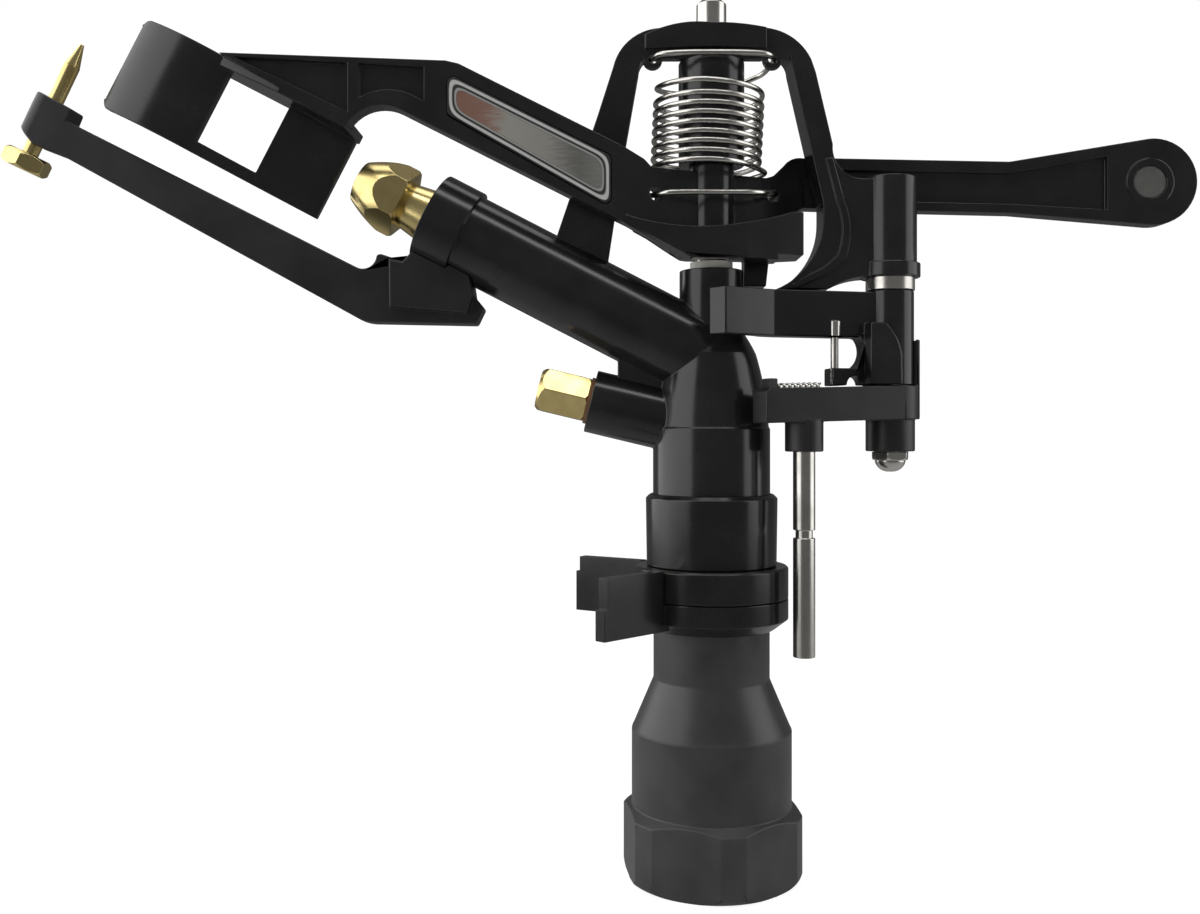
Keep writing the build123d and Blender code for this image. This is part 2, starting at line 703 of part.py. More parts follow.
def screw_cylinder(start, end, radius):
    return along(screw_plane(), start, end, radius)


def diffuser_screw():
    screw = turned((0, -screw_down), (screw_radius, -screw_down), (screw_radius, screw_up - screw_point),
                   (0.4, screw_up), (0, screw_up))
    low = -screw_down - screw_head
    corner = screw_flats / sqrt(3)
    head = hexagon(Plane.XY, low, -screw_down, screw_flats, 8.0)
    head &= turned((0, low), (corner - 0.9, low), (corner, low + 0.7), (corner, -screw_down - 0.7),
                   (corner - 0.9, -screw_down), (0, -screw_down))
    return screw_plane() * (screw + head)


def trip_lever():
    frame = Plane(origin=pivot, x_dir=-trip_dir, z_dir=(0, 0, 1))
    bar = side_plate(
        -trip_eye_radius, trip_eye_radius,
        (-trip_reach, -12.7), (-trip_reach, -6.5), (-trip_reach + 0.8, -5.9), (0, trip_eye_top),
        (0, trip_eye_bottom))
    bar = frame * (bar & plan_plate(
        -20, 0,
        (-trip_reach, -trip_half), (-0.6, -trip_eye_radius + 0.03), (-0.6, trip_eye_radius - 0.03),
        (-trip_reach, trip_half)))
    bar += upright(pivot_x, 0, trip_eye_bottom, trip_eye_top, trip_eye_radius)
    bar += upright(pivot_x, 0, trip_boss_bottom, trip_eye_bottom, trip_boss_radius)
    bar += frame * Pos(-trip_reach + 2.4, 0, -5.6) * Box(1.8, 3.0, 3.4)
    bar -= frame * Pos(-trip_reach + 10.0, 0, trough_bottom + 3) * Box(13.4, 2 * trough_half, 6.0)
    tab_inner = shift_hub_radius + air
    stop = upright(pivot_x, 0, trip_eye_bottom, 4.6, tab_inner + 0.8) - upright(
        pivot_x, 0, trip_eye_bottom, 4.6, tab_inner)
    bar += stop & (Pos(pivot_x + 6, 0, 0) * Box(5, 5, 60))
    bar += upright(rod_at.X, rod_at.Y, rod_boss_bottom, trip_eye_bottom - 0.2, rod_boss_radius)
    bar -= upright(rod_at.X, rod_at.Y, -26, 14, rod_radius + running)
    groove = rod_boss_bottom + 1.6
    bar -= upright(rod_at.X, rod_at.Y, groove, groove + detent_height, rod_radius + 0.9)
    return bar - upright(pivot_x, 0, -26, 14, pivot_pin_radius + running)


def shift_lever():
    bar = plan_plate(
        shift_bottom, shift_top,
        (pivot_x, -shift_half), (12.0, -8.0), (1.5, -13.5), (-1.5, -10.9), (0.4, -9.8), (11.6, -3.6),
        (pivot_x, shift_half))
    lever = bar + upright(pivot_x, 0, shift_hub_bottom, shift_hub_top, shift_hub_radius)
    frame = Plane(origin=pivot, x_dir=(cos(radians(13.6)), sin(radians(13.6)), 0), z_dir=(0, 0, 1))
    low = shift_hub_bottom
    arch = side_plate(
        -shift_half, shift_half,
        (0, low), (-6.9, low), ((-8.8, low + 1.9), (-10.7, low - 0.1)), (-13.8, low - 0.2), (-13.8, -1.4),
        (-8.6, -1.4), ((-6.6, 1.8), (-8.6, 5.6)), (0, 5.6))
    lever += frame * arch
    fin = side_plate(
        -shift_hub_radius - 0.5, 0,
        (-6.9, low), (-6.9, 7.8), (-3.6, 7.8), ((-1.0, 4.4), (-0.1, -0.6)), (0.0, low))
    lever += frame * fin
    lever -= upright(0, 0, 0, shift_relief_top, shift_relief_radius)
    x, y = toggle_pin_at()
    lever -= upright(x, y, -8, toggle_pin_top, toggle_pin_radius)
    lever -= upright(x, y, toggle_head_bottom, toggle_pin_top, toggle_head_radius)
    return lever - upright(pivot_x, 0, -26, 24, pivot_pin_radius + running)


def toggle_pin_at():
    return pivot_x - 12.4, -4.2


def toggle_pin():
    x, y = toggle_pin_at()
    shank = upright(x, y, shift_hub_bottom, toggle_pin_top, toggle_pin_radius)
    return shank + upright(x, y, toggle_head_bottom, toggle_pin_top, toggle_head_radius)


def toggle_spring():
    start = pivot + trip_dir * (trip_reach - 3.4) + Vector(0, 0, trough_bottom + toggle_radius + 0.6)
    end = pivot + Vector(cos(radians(toggle_turn)), sin(radians(toggle_turn)), 0) * toggle_reach
    end += Vector(0, 0, trip_eye_top - 0.8)
    aim = (end - start).normalized()
    frame = Plane(origin=start, x_dir=(0, 0, 1), z_dir=aim)
    span = (end - start).length
    points = []
    count = toggle_turns * 4
    for i in range(count + 1):
        angle = radians(90 * i)
        height = toggle_wire + (span - 2 * toggle_wire) * i / count
        spot = frame.from_local_coords((toggle_radius * cos(angle), toggle_radius * sin(angle), height))
        points.append((spot.X, spot.Y, spot.Z))
    spring, path = wire_tube(points, toggle_wire / 2)
    print("toggle spring least gap", round(self_gap(path, toggle_wire / 2, 3.0), 2))
    return spring


def trip_rod():
    rod = upright(rod_at.X, rod_at.Y, rod_bottom, rod_top, rod_radius)
    for z in (rod_groove_z, rod_boss_bottom + 1.6 + detent_height / 2):
        rod -= upright(rod_at.X, rod_at.Y, z - 0.8, z + 0.8, 6) - upright(
            rod_at.X, rod_at.Y, z - 0.8, z + 0.8, rod_radius - rod_groove)
    return rod


def rod_detent_ring():
    low = rod_boss_bottom + 1.6
    ring = upright(rod_at.X, rod_at.Y, low, low + detent_height, rod_radius + 0.9)
    return ring - upright(rod_at.X, rod_at.Y, low, low + detent_height, rod_radius + running)


def trip_pivot_pin():
    return upright(pivot_x, 0, nut_top - 2.0, pivot_pin_top, pivot_pin_radius)


def pivot_spacer():
    return upright(pivot_x, 0, spacer_bottom, spacer_top, spacer_radius) - upright(
        pivot_x, 0, spacer_bottom, spacer_top, pivot_pin_radius)


def pivot_dome_nut():
    low = nut_top - nut_height
    step = nut_top - nut_flange
    corner = nut_flats / sqrt(3)
    nut = hexagon(Plane.XY, step, nut_top, nut_flats, 10.0)
    nut &= turned((0, step), (corner - 0.5, step), (corner, step + 0.5), (corner, nut_top), (0, nut_top))
    nut += turned((0, low), ((0.71 * nut_dome_radius, low + 0.6), (nut_dome_radius, step - 0.4)),
                  (nut_dome_radius, step + 0.2), (0, step + 0.2))
    return Pos(pivot_x, 0, 0) * nut - upright(pivot_x, 0, nut_top - 2.0, nut_top, pivot_pin_radius)


pieces = {
    "inlet_base": inlet_base(),
    "lower_trip_ring": trip_ring(ring_bottom, lower_tab_turn, ring_chamfer, ring_line),
    "upper_trip_ring": trip_ring(upper_ring_bottom, upper_tab_turn, ring_line, ring_break),
    "brake_cup": brake_cup(),
    "bearing_spindle": bearing_spindle(),
    "thrust_washers": stack_washer(0) + stack_washer(2),
    "spindle_seal": stack_washer(1),
    "brake_spring": brake_spring(),
    "brake_washers": brake_washers(),
    "sprinkler_body": sprinkler_body(),
    "main_nozzle": main_nozzle(),
    "main_nozzle_seal": main_nozzle_seal(),
    "secondary_nozzle": secondary_nozzle(),
    "secondary_nozzle_washer": secondary_nozzle_washer(),
    "arm_shaft": arm_shaft(),
    "shaft_thrust_washer": washer(lower_boss_top, shaft_washer, shaft_radius, hub_radius - 0.3),
    "spring_sleeve": spring_sleeve(),
    "impact_arm": impact_arm(),
    "arm_bush": arm_bush(),
    "nameplate": nameplate(),
    "counterweight_slug": counterweight_slug(),
    "arm_spring": arm_spring(),
    "diffuser_arm": diffuser_arm(),
    "diffuser_screw": diffuser_screw(),
    "trip_lever": trip_lever(),
    "shift_lever": shift_lever(),
    "toggle_pin": toggle_pin(),
    "toggle_spring": toggle_spring(),
    "trip_rod": trip_rod(),
    "rod_detent_ring": rod_detent_ring(),
    "trip_pivot_pin": trip_pivot_pin(),
    "pivot_spacer": pivot_spacer(),
    "pivot_dome_nut": pivot_dome_nut(),
}

below_head = ("inlet_base", "lower_trip_ring", "upper_trip_ring", "brake_cup", "bearing_spindle",
              "thrust_washers", "spindle_seal", "brake_spring", "brake_washers")
for name, piece in pieces.items():
    if name not in below_head:
        piece = Pos(0, 0, elbow_height) * piece
    piece.label = name
    export_step(piece, f"parts/{name}.step")
    print(name, len(piece.solids()), round(piece.volume, 1))
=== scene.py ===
# %% [markdown]
# # A part-circle impact sprinkler
#
# The solids come from CAD and already have the right shape and size. Blender's work here is the
# rest of what the eye sees: moulded plastic, machined brass, drawn steel wire, the thread inside
# the inlet, the light and the camera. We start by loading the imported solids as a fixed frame.

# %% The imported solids
import json
import math

import bmesh
import bpy
import numpy as np
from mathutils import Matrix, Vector
from mathutils.bvhtree import BVHTree

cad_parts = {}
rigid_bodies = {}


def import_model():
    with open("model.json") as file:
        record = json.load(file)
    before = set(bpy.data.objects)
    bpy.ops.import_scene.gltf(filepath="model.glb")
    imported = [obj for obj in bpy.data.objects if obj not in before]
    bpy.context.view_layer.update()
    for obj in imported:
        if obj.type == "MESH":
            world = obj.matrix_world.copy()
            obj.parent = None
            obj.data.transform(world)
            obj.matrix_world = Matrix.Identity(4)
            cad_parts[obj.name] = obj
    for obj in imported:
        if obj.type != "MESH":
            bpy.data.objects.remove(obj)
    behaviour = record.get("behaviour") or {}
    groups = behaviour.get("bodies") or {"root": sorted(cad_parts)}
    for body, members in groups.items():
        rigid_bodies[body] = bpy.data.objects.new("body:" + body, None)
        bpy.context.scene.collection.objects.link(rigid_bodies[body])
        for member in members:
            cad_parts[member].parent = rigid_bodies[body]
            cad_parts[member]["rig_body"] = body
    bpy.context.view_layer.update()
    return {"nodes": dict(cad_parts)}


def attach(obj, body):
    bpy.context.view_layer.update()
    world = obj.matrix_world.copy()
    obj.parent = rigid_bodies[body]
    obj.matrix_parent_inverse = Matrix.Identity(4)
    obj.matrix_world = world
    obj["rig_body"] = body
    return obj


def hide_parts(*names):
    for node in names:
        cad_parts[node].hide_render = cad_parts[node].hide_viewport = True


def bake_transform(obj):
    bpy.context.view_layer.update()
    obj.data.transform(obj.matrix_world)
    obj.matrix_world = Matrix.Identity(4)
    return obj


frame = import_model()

nodes = frame["nodes"]
mm = 0.001

# %% [markdown]
# ## Writing shaders as arithmetic
#
# A finish is easier to read as a formula than as a chain of nodes. `Field` wraps one socket, and
# its operators add the Math nodes. Every other node comes from `Field.node`, which takes the
# node's type, its settings and what goes into its sockets.

# %% A socket that can be used in sums
class Field:
    """One shader socket, with operators that add Math nodes to its tree."""

    def __init__(self, tree, socket):
        self.tree = tree
        self.socket = socket

    @staticmethod
    def node(tree, kind, settings=None, inputs=None, out=0):
        """Add a node: settings first, then values or links of its sockets."""
        made = tree.nodes.new(kind)
        for key, value in (settings or {}).items():
            if key == "stops":
                ramp = made.color_ramp
                while len(ramp.elements) < len(value):
                    ramp.elements.new(1.0)
                for element, (place, colour) in zip(ramp.elements, value):
                    element.position = place
                    element.color = (*colour, 1.0)
            else:
                setattr(made, key, value)
        for key, value in (inputs or {}).items():
            if isinstance(value, Field):
                tree.links.new(value.socket, made.inputs[key])
            else:
                made.inputs[key].default_value = value
        return Field(tree, made.outputs[out])

    def math(self, operation, *others):
        """Math node with this field first and the others after it."""
        inputs = {0: self}
        inputs.update({i + 1: other for i, other in enumerate(others)})
        return Field.node(self.tree, "ShaderNodeMath", {"operation": operation}, inputs)

    def __add__(self, other):
        return self.math("ADD", other)

    def __sub__(self, other):
        return self.math("SUBTRACT", other)

    def __rsub__(self, other):
        return Field.node(self.tree, "ShaderNodeMath", {"operation": "SUBTRACT"}, {0: other, 1: self})

    def __mul__(self, other):
        return self.math("MULTIPLY", other)

    __radd__ = __add__
    __rmul__ = __mul__


print("shader sums ready")

# %% [markdown]
# ## Materials
#
# A Principled shader is set up once per finish. What is the same all over goes straight onto the
# sockets. What changes over the surface, such as a roughness that drifts or the grain of a mould,
# is worked out from Object coordinates, which are metres in the object's own frame.

# %% The common start of a finish
def finish_of(name, colour, roughness, metallic=0.0, **sockets):
    """A material with one Principled shader: returns it, its tree, shader and place field."""
    material = bpy.data.materials.new(name)
    material.use_nodes = True
    tree = material.node_tree
    shader = tree.nodes["Principled BSDF"]
    shader.inputs["Base Color"].default_value = (*colour, 1.0)
    shader.inputs["Roughness"].default_value = roughness
    shader.inputs["Metallic"].default_value = metallic
    for key, value in sockets.items():
        shader.inputs[key.replace("_", " ")].default_value = value
    place = Field.node(tree, "ShaderNodeTexCoord", out="Object")
    return material, tree, shader, place


def noise(tree, place, scale, detail=2.0, stretch=None):
    """Grey noise around 0.5; stretch multiplies the coordinates first."""
    if stretch is not None:
        place = Field.node(tree, "ShaderNodeVectorMath", {"operation": "MULTIPLY"}, {0: place, 1: stretch})
    return Field.node(tree, "ShaderNodeTexNoise", None, {"Vector": place, "Scale": scale, "Detail": detail})


def axis_of(tree, place, letter):
    """One coordinate of a place, by its letter."""
    return Field.node(tree, "ShaderNodeSeparateXYZ", None, {"Vector": place}, out=letter)


def feed(tree, shader, socket, field):
    """Lead a field into one of the shader's sockets."""
    tree.links.new(field.socket, shader.inputs[socket])


def bump(tree, shader, height, strength, distance):
    """Tilt the shading as a surface of that height would."""
    normal = Field.node(tree, "ShaderNodeBump", None,
                        {"Strength": strength, "Distance": distance, "Height": height})
    feed(tree, shader, "Normal", normal)


print("finish helpers ready")

# %% [markdown]
# Black glass-filled plastic comes out of the mould glossy, but not like a mirror: the surface sinks
# a little over thick walls and carries the tool's fine polish. A slow noise drifts the roughness, the
# same noise bends the reflections a little, and a very fine one gives the tool's grain. The trip lever
# and the diffuser arm come from a blasted tool, so they are rougher, and the base is a matt grey.

# %% Moulded plastics
sink_scale = 110.0        # waves per metre of the slow noise
grain_scale = 2400.0
mould_relief = 0.00010    # metres
darker, lighter = 0.75, 1.3


def moulded_plastic(name, colour, gloss, drift, grain, polish=None):
    """Roughness = gloss + drift x slow noise, less in a polished band; height = slow + grain x fine."""
    material, tree, shader, place = finish_of(name, colour, gloss, Specular_IOR_Level=0.5)
    slow = noise(tree, place, sink_scale, 3.0)
    fine = noise(tree, place, grain_scale, 2.0)
    rough = gloss + drift * (slow - 0.5)
    if polish is not None:
        low, high, drop = polish
        z = axis_of(tree, place, "Z")
        rough = rough - drop * (z.math("GREATER_THAN", low) * z.math("LESS_THAN", high))
    feed(tree, shader, "Roughness", rough)
    shade = Field.node(tree, "ShaderNodeValToRGB", {"stops": [
        (0.3, tuple(darker * c for c in colour)), (0.7, tuple(lighter * c for c in colour))]}, {0: slow})
    feed(tree, shader, "Base Color", shade)
    bump(tree, shader, slow + fine * grain, 0.35, mould_relief)
    return material


plastic_black = moulded_plastic("plastic_black", (0.012, 0.012, 0.0125), 0.19, 0.10, 0.05)
plastic_blasted = moulded_plastic("plastic_blasted", (0.014, 0.014, 0.0145), 0.40, 0.12, 0.30)
polished_band = (0.0306, 0.0406, 0.12)    # from and to this height, and how much smoother
plastic_grey = moulded_plastic("plastic_grey", (0.036, 0.036, 0.0362), 0.46, 0.10, 0.30, polished_band)
washer_plastic = moulded_plastic("washer_plastic", (0.72, 0.70, 0.64), 0.45, 0.1, 0.2)
washer_brown = moulded_plastic("washer_brown", (0.16, 0.075, 0.03), 0.6, 0.2, 0.5)
rubber = moulded_plastic("rubber", (0.02, 0.02, 0.02), 0.6, 0.1, 0.4)
print("plastics made")

# %% [markdown]
# Brass nozzles are cut on a lathe and their hexagon is drawn bar. The tool leaves fine rings round
# the axis, so the height is a wave of the distance along that axis. A little brown tarnish gathers
# in a slow noise. Drawn steel has the same kind of finish, without the colour.

# %% Machined brass and drawn steel
tarnish_scale = 160.0     # waves per metre
ring_wander = 3.0
ring_relief = 0.00002     # metres


def turned_metal(name, colour, tarnish, roughness, axis, rings):
    """Height = fine wave of the distance along the axis; colour drifts towards the tarnish."""
    material, tree, shader, place = finish_of(name, colour, roughness, 1.0)
    along = Field.node(tree, "ShaderNodeVectorMath", {"operation": "DOT_PRODUCT"},
                       {0: place, 1: axis}, out="Value")
    slow = noise(tree, place, tarnish_scale, 3.0)
    wave = (along * rings + slow * ring_wander).math("SINE")
    mix = Field.node(tree, "ShaderNodeValToRGB", {"stops": [(0.42, colour), (0.78, tarnish)]}, {0: slow})
    feed(tree, shader, "Base Color", mix)
    feed(tree, shader, "Roughness", roughness + 0.16 * (slow - 0.5))
    bump(tree, shader, wave, 0.05, ring_relief)
    return material


def leaning(degrees):
    """Direction that rises by an angle towards the nozzle side."""
    return -math.cos(math.radians(degrees)), 0.0, math.sin(math.radians(degrees))


upright = (0.0, 0.0, 1.0)
barrel_rise = 27.3        # degrees
second_rise = 13.5
screw_rise = -64.5
brass = (0.84, 0.69, 0.31)
brown = (0.64, 0.47, 0.18)
brass_main = turned_metal("brass_main", brass, brown, 0.24, leaning(barrel_rise), 26000.0)
brass_second = turned_metal("brass_second", brass, brown, 0.24, leaning(second_rise), 26000.0)
brass_screw = turned_metal("brass_screw", brass, brown, 0.26, leaning(screw_rise), 22000.0)
brass_spindle = turned_metal("brass_spindle", brass, brown, 0.3, upright, 18000.0)
steel = (0.70, 0.68, 0.64)
steel_shade = (0.54, 0.52, 0.48)
steel_upright = turned_metal("steel_upright", steel, steel_shade, 0.24, upright, 20000.0)
slug_metal = (0.30, 0.30, 0.28)
slug_shade = (0.20, 0.20, 0.19)
steel_slug = turned_metal("steel_slug", slug_metal, slug_shade, 0.45, (0.0, 1.0, 0.0), 9000.0)
steel_wire = turned_metal("steel_wire", steel, steel_shade, 0.22, upright, 4000.0)
print("metals made")

# %% [markdown]
# The name panel on the arm is a printed foil with a bright border. Nothing is written on it here.
# Its outline is four straight sides, so the distance from each side is a sum of x and z, and the
# least of the four tells how far inside the border we are. The field is brushed along the arm and
# its print runs from reddish brown through grey to dark.

# %% Panel foil
panel_corners = np.array([(-53.4, 162.6), (-21.0, 146.3), (-21.0, 136.2), (-53.4, 154.6)]) * mm
corner_blend = 0.003      # how far the sides' distances run into each other at a corner, metres
border_width = 0.0017
ring_span = 0.0025        # distance at which the rings' places reach 1
rings_of_border = [       # from, to, colour
    (0.0, 0.10, (0.05, 0.05, 0.05)),
    (0.15, 0.32, (0.78, 0.78, 0.76)),
    (0.38, 0.50, (0.06, 0.06, 0.06)),
    (0.55, 0.63, (0.50, 0.50, 0.48)),
    (0.68, 1.0, (0.08, 0.08, 0.08)),
]
print_colours = [         # share of the length, colour
    (0.0, (0.30, 0.15, 0.11)),
    (0.25, (0.36, 0.22, 0.175)),
    (0.36, (0.46, 0.445, 0.40)),
    (0.62, (0.40, 0.385, 0.35)),
    (0.80, (0.20, 0.20, 0.187)),
    (1.0, (0.30, 0.30, 0.278)),
]


def panel_foil(name):
    """Colour by the least distance to the four sides: rings of the border, then the printed field."""
    material, tree, shader, place = finish_of(name, (0.3, 0.3, 0.3), 0.3, 0.55)
    x = axis_of(tree, place, "X")
    z = axis_of(tree, place, "Z")
    inside = None
    for a, b in zip(panel_corners, np.roll(panel_corners, -1, axis=0)):
        run = (b - a) / np.linalg.norm(b - a)
        nx, nz = float(run[1]), float(-run[0])
        distance = x * nx + z * nz - float(a[0] * nx + a[1] * nz)
        inside = distance if inside is None else inside.math("SMOOTH_MIN", distance, corner_blend)
    left, right = float(panel_corners[:, 0].min()), float(panel_corners[:, 0].max())
    share = (x - left) * (1.0 / (right - left))
    brush = noise(tree, place, 60.0, 4.0, stretch=(6.0, 1.0, 60.0))
    field = Field.node(tree, "ShaderNodeValToRGB", {"stops": print_colours},
                       {0: share + 0.25 * (brush - 0.5)})
    stops = [(spot, colour) for first, last, colour in rings_of_border for spot in (first, last)]
    rings = Field.node(tree, "ShaderNodeValToRGB", {"stops": stops}, {0: inside * (1.0 / ring_span)})
    # counted from 0, a Mix node's colours are inputs 6 and 7 and output 2
    colour = Field.node(tree, "ShaderNodeMix", {"data_type": "RGBA"},
                        {0: inside.math("GREATER_THAN", border_width), 6: rings, 7: field}, out=2)
    feed(tree, shader, "Base Color", colour)
    feed(tree, shader, "Roughness", 0.28 + 0.16 * brush)
    return material


plate_metal = panel_foil("plate_metal")
print("panel foil made")

# %% [markdown]
# ## Rounded edges
#
# No moulded or machined edge is sharp: each one carries a thin light line where it turns. A merged
# copy of the solid takes its place, with its flat stretches joined into single faces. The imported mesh
# knows the true direction of the surface at each corner, so an edge is hard where the two faces
# disagree about it. Those edges are bevelled. The old faces keep their directions, which leaves flat
# faces flat and round ones round, and only the narrow new faces turn from one to the other.

# %% Finding and rounding hard edges
hard_angle = 14           # degrees between two faces' directions
level_angle = 0.2         # faces that differ by less are joined, degrees
level_match = 0.9998      # cosine at which a corner's direction is its face's
weld_distance = 2e-6      # metres
short_share = 0.3         # hard edges shorter than this share of the width are closed up
stray_share = 0.8         # new points further off than this share of the width go back to the surface


def hard_edges(form, aim):
    """Edges whose two faces differ in direction by more than the hard angle at either end."""
    limit = math.cos(math.radians(hard_angle))
    found = []
    for edge in form.edges:
        if len(edge.link_loops) == 2:
            a, b = edge.link_loops
            near = a[aim].dot(b.link_loop_next[aim])
            far = a.link_loop_next[aim].dot(b[aim])
            if min(near, far) < limit:
                found.append(edge)
    return found


def merged_form(name, width):
    """Welded copy of a solid with flat stretches joined: the form and its layer of corner directions."""
    source = nodes[name].data.copy()
    directions = np.empty(3 * len(source.loops), np.float32)
    source.corner_normals.foreach_get("vector", directions)
    source.attributes.new("aim", "FLOAT_VECTOR", "CORNER").data.foreach_set("vector", directions)
    form = bmesh.new()
    form.from_mesh(source)
    aim = form.loops.layers.float_vector["aim"]
    bmesh.ops.remove_doubles(form, verts=form.verts, dist=weld_distance)
    bmesh.ops.dissolve_limit(form, angle_limit=math.radians(level_angle),
                             verts=form.verts[:], edges=form.edges[:])
    short = [edge for edge in hard_edges(form, aim) if edge.calc_length() < short_share * width]
    bmesh.ops.collapse(form, edges=short)
    form.normal_update()
    return form, aim


def round_edges(form, aim, width):
    """Bevel the hard edges and bring stray points back to the surface: the set of new faces."""
    before = BVHTree.FromBMesh(form)
    made = bmesh.ops.bevel(form, geom=hard_edges(form, aim), offset=width, offset_type="OFFSET",
                           segments=2, profile=0.5, affect="EDGES", clamp_overlap=False)
    for vert in made["verts"]:
        nearest, _, _, distance = before.find_nearest(vert.co)
        if distance > stray_share * width:
            vert.co = nearest
    form.normal_update()
    return set(made["faces"])


print("edge tools ready")

# %% [markdown]
# The corner directions of the finished copy come from three places: a flat old face uses its own, a
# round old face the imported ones, and a new face at each of its points the sum of the old faces there.

# %% Rounded copies of the solids
def corner_directions(form, aim, level, new_faces):
    """One direction for each corner of each face, in the form's order."""
    found = []
    for face in form.faces:
        for loop in face.loops:
            if face not in new_faces:
                found.append(face.normal if face[level] else loop[aim].normalized())
                continue
            old = [near[aim] for near in loop.vert.link_loops if near.face not in new_faces]
            total = sum(old, Vector()) if old else loop.vert.normal
            found.append(total.normalized() if total.length > 1e-6 else loop.vert.normal)
    return found


def eased(name, width, finish):
    """Merged copy of a solid whose hard edges are rounded by a width in mm."""
    form, aim = merged_form(name, width * mm)
    level = form.faces.layers.int.new("level")
    for face in form.faces:
        face[level] = all(loop[aim].dot(face.normal) > level_match for loop in face.loops)
    new_faces = round_edges(form, aim, width * mm)
    directions = corner_directions(form, aim, level, new_faces)
    mesh = bpy.data.meshes.new(name + "_eased")
    form.to_mesh(mesh)
    form.free()
    for layer in ("aim", "level"):
        mesh.attributes.remove(mesh.attributes[layer])
    mesh.polygons.foreach_set("use_smooth", np.ones(len(mesh.polygons), bool))
    mesh.normals_split_custom_set(directions)
    mesh.materials.clear()
    mesh.materials.append(finish)
    piece = bpy.data.objects.new(name + "_eased", mesh)
    bpy.context.scene.collection.objects.link(piece)
    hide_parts(name)
    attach(piece, nodes[name]["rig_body"])
    print(name, "faces", len(mesh.polygons), "of them rounding", len(new_faces))
    return piece


eased_pieces = [
    eased("inlet_base", 0.25, plastic_grey),
    eased("lower_trip_ring", 0.12, plastic_black),
    eased("upper_trip_ring", 0.12, plastic_black),
    eased("brake_cup", 0.20, plastic_black),
    eased("sprinkler_body", 0.22, plastic_black),
    eased("impact_arm", 0.24, plastic_black),
    eased("diffuser_arm", 0.40, plastic_blasted),
    eased("trip_lever", 0.25, plastic_blasted),
    eased("shift_lever", 0.30, plastic_black),
    eased("spring_sleeve", 0.30, plastic_black),
    eased("main_nozzle", 0.12, brass_main),
    eased("secondary_nozzle", 0.12, brass_second),
    eased("diffuser_screw", 0.12, brass_screw),
    eased("nameplate", 0.15, plate_metal),
    eased("trip_rod", 0.12, steel_upright),
    eased("pivot_spacer", 0.15, steel_upright),
    eased("counterweight_slug", 0.20, steel_slug),
    eased("toggle_pin", 0.12, steel_upright),
    eased("pivot_dome_nut", 0.12, steel_upright),
]
print("rounded copies:", len(eased_pieces))

# %% [markdown]
# The other solids are turned pins, washers and rings that already have the edges they need. They keep
# their mesh and only change their material slot.

# %% Finishes on the other solids
finishes = {
    brass_spindle: ["bearing_spindle"],
    steel_upright: ["arm_shaft", "trip_pivot_pin", "brake_washers"],
    rubber: ["spindle_seal", "main_nozzle_seal", "rod_detent_ring"],
    washer_plastic: ["thrust_washers", "shaft_thrust_washer", "arm_bush"],
    washer_brown: ["secondary_nozzle_washer"],
}
for material, names in finishes.items():
    for name in names:
        mesh = nodes[name].data
        mesh.materials.clear()
        mesh.materials.append(material)
print("other solids finished:", sum(len(names) for names in finishes.values()))

# %% [markdown]
# ## Wound wire
#
# A spring is a round profile carried along a path. The path is given by a few points a turn, and
# cubic pieces join them: the tangent at a point runs along the chord of its two neighbours, and its
# length is the chord over cos^2(a/4), where a is the angle the piece turns, which makes a
# quarter turn of four points as good as a circle.

# %% Path and tube
def smooth_path(points, steps):
    """Hermite pieces through the points, steps samples each, as one array."""
    p = np.asarray(points, float)
    t = np.empty_like(p)
    t[1:-1] = p[2:] - p[:-2]
    t /= np.maximum(np.linalg.norm(t, axis=1, keepdims=True), 1e-12)
    first = (p[1] - p[0]) / np.linalg.norm(p[1] - p[0])
    last = (p[-1] - p[-2]) / np.linalg.norm(p[-1] - p[-2])
    t[0] = 2 * first * (first @ t[1]) - t[1]
    t[-1] = 2 * last * (last @ t[-2]) - t[-2]
    chord = np.linalg.norm(p[1:] - p[:-1], axis=1)
    turn = np.arccos(np.clip((t[1:] * t[:-1]).sum(1), -1, 1))
    size = (chord / np.cos(turn / 4) ** 2)[:, None, None]
    s = np.linspace(0, 1, steps, endpoint=False)[None, :, None]
    a, b = p[:-1, None], p[1:, None]
    ta, tb = t[:-1, None] * size, t[1:, None] * size
    curve = ((1 + 2 * s) * (1 - s) ** 2 * a + s * (1 - s) ** 2 * ta
             + s * s * (3 - 2 * s) * b + s * s * (s - 1) * tb)
    return np.vstack([curve.reshape(-1, 3), p[-1:]])


def carry(name, path, profile, reference, material):
    """Closed profile (out, along reference) carried along a path; each end is one flat face."""
    tangent = np.gradient(path, axis=0)
    tangent /= np.linalg.norm(tangent, axis=1, keepdims=True)
    side = np.cross(tangent, reference)
    side /= np.linalg.norm(side, axis=1, keepdims=True)
    rise = np.cross(side, tangent)
    grid = path[:, None] + profile[None, :, :1] * side[:, None] + profile[None, :, 1:] * rise[:, None]
    rows, cols = grid.shape[:2]
    i, j = np.meshgrid(np.arange(rows - 1), np.arange(cols), indexing="ij")
    k = (j + 1) % cols
    quads = np.stack([i * cols + j, i * cols + k, (i + 1) * cols + k, (i + 1) * cols + j], -1)
    ends = [list(range(cols))[::-1], list(range((rows - 1) * cols, rows * cols))]
    mesh = bpy.data.meshes.new(name)
    mesh.from_pydata(grid.reshape(-1, 3).tolist(), [], quads.reshape(-1, 4).tolist() + ends)
    mesh.update()
    mesh.polygons.foreach_set("use_smooth", np.ones(len(mesh.polygons), bool))
    mesh.materials.append(material)
    piece = bpy.data.objects.new(name, mesh)
    bpy.context.scene.collection.objects.link(piece)
    print(name, "faces", len(mesh.polygons))
    return piece


